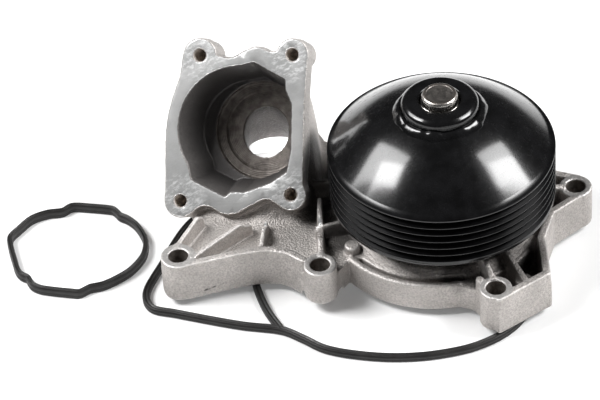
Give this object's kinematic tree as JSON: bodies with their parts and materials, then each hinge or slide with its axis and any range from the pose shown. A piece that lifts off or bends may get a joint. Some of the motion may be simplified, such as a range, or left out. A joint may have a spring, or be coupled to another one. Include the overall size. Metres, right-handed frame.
{
  "type": "water pump",
  "caption": "Belt-driven engine coolant pump with domed ribbed pulley, cast housing, angled thermostat flange and two loose moulded seals.",
  "frame": {"origin": "on the pump shaft's axis, at the shaft's inner end, in the plane of the crankcase mounting face", "axes": "+Z along the shaft towards the pulley, +X from the thermostat chamber towards the pulley, +Y away from the thermostat flange's open side"},
  "size_m": [0.2441, 0.1461, 0.0801],
  "materials": {
    "cast_aluminium": "as-cast, fine grain, with machined faces",
    "black_paint": "gloss black paint",
    "bright_steel": "ground",
    "bearing_steel": "polished",
    "gasket_rubber": "moulded, satin",
    "seal_rubber": "moulded",
    "carbon": "lapped",
    "ceramic": "lapped",
    "plastic": "glass-filled, moulded"
  },
  "bodies": {
    "housing_set": {"housing": "cast_aluminium", "bearing_outer_race": "bearing_steel", "bearing_seal_front": "seal_rubber", "bearing_seal_rear": "seal_rubber", "seal_cup": "bright_steel", "seal_bellows": "seal_rubber", "seal_spring": "bright_steel", "seal_carbon_face": "carbon", "weep_hole_plug": "plastic", "crankcase_gasket": "gasket_rubber"},
    "rotor": {"shaft": "bright_steel", "pulley_hub": "black_paint", "pulley_shell": "black_paint", "hub_weld_bead": "black_paint", "slinger": "bright_steel", "seal_mating_ring": "ceramic", "seal_mating_boot": "seal_rubber", "impeller": "plastic"},
    "ball_train": {"ball_cage": "plastic", "bearing_ball_1": "bearing_steel", "bearing_ball_2": "bearing_steel", "bearing_ball_3": "bearing_steel", "bearing_ball_4": "bearing_steel", "bearing_ball_5": "bearing_steel", "bearing_ball_6": "bearing_steel", "bearing_ball_7": "bearing_steel", "bearing_ball_8": "bearing_steel"},
    "roller_train": {"roller_cage": "plastic", "bearing_roller_1": "bearing_steel", "bearing_roller_2": "bearing_steel", "bearing_roller_3": "bearing_steel", "bearing_roller_4": "bearing_steel", "bearing_roller_5": "bearing_steel", "bearing_roller_6": "bearing_steel", "bearing_roller_7": "bearing_steel", "bearing_roller_8": "bearing_steel", "bearing_roller_9": "bearing_steel", "bearing_roller_10": "bearing_steel"},
    "loose_thermostat_gasket": {"thermostat_gasket": "gasket_rubber"}
  },
  "joints": [
    {"name": "pulley_spin", "type": "hinge", "parent": "housing_set", "child": "rotor", "pos_m": [0, 0, 0], "axis": [0, 0, 1], "continuous": true},
    {"name": "ball_cage_spin", "type": "hinge", "parent": "housing_set", "child": "ball_train", "pos_m": [0, 0, 0.05], "axis": [0, 0, 1], "continuous": true},
    {"name": "roller_cage_spin", "type": "hinge", "parent": "housing_set", "child": "roller_train", "pos_m": [0, 0, 0.034], "axis": [0, 0, 1], "continuous": true},
    {"name": "gasket_lift", "type": "slide", "parent": "housing_set", "child": "loose_thermostat_gasket", "axis": [0, 0, 1], "range_m": [0, 0.05]}
  ],
  "couplings": [
    {"joint": "ball_cage_spin", "follows": "pulley_spin", "ratio": 0.3993},
    {"joint": "roller_cage_spin", "follows": "pulley_spin", "ratio": 0.3993}
  ]
}
